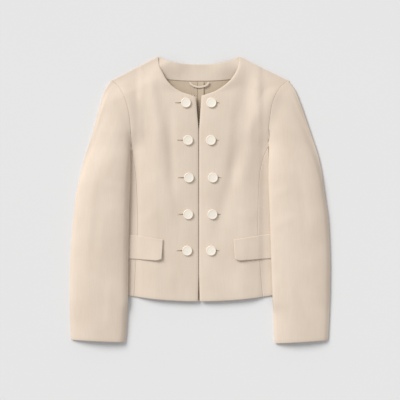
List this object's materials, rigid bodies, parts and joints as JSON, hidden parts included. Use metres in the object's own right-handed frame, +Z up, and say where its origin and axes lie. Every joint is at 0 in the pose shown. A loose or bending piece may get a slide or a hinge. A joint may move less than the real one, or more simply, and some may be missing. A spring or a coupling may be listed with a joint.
{
  "type": "collarless jacket",
  "caption": "Short collarless jacket laid flat, front up, with long set-in sleeves, edge-to-edge fronts with two rows of buttons, slanted pocket flaps and panel seams.",
  "frame": {"origin": "on the floor under the middle of the laid garment, under the back", "axes": "+Y from hem to neck, +X to the wearer's left, +Z up from the floor through the front"},
  "size_m": [0.5778, 0.6352, 0.0296],
  "materials": {
    "cloth": "matte woven suiting, warm beige",
    "cloth_inside": "inner face of the same matte woven cloth",
    "loop": "narrow turned cloth loop",
    "button": "pearly cream resin with a thin grey rim"
  },
  "bodies": {
    "root": {"back_right": "cloth_inside", "back_left": "cloth_inside", "back_seam_allowance_right": "cloth_inside", "back_seam_allowance_left": "cloth_inside", "back_neck_facing": "cloth", "hanger_loop": "loop", "front_right": "cloth", "front_left": "cloth", "side_right": "cloth", "side_left": "cloth", "sleeve_right": "cloth", "sleeve_left": "cloth", "flap_right": "cloth", "flap_left": "cloth", "button_right_1": "button", "button_right_2": "button", "button_right_3": "button", "button_right_4": "button", "button_right_5": "button", "button_left_1": "button", "button_left_2": "button", "button_left_3": "button", "button_left_4": "button", "button_left_5": "button"}
  },
  "joints": []
}
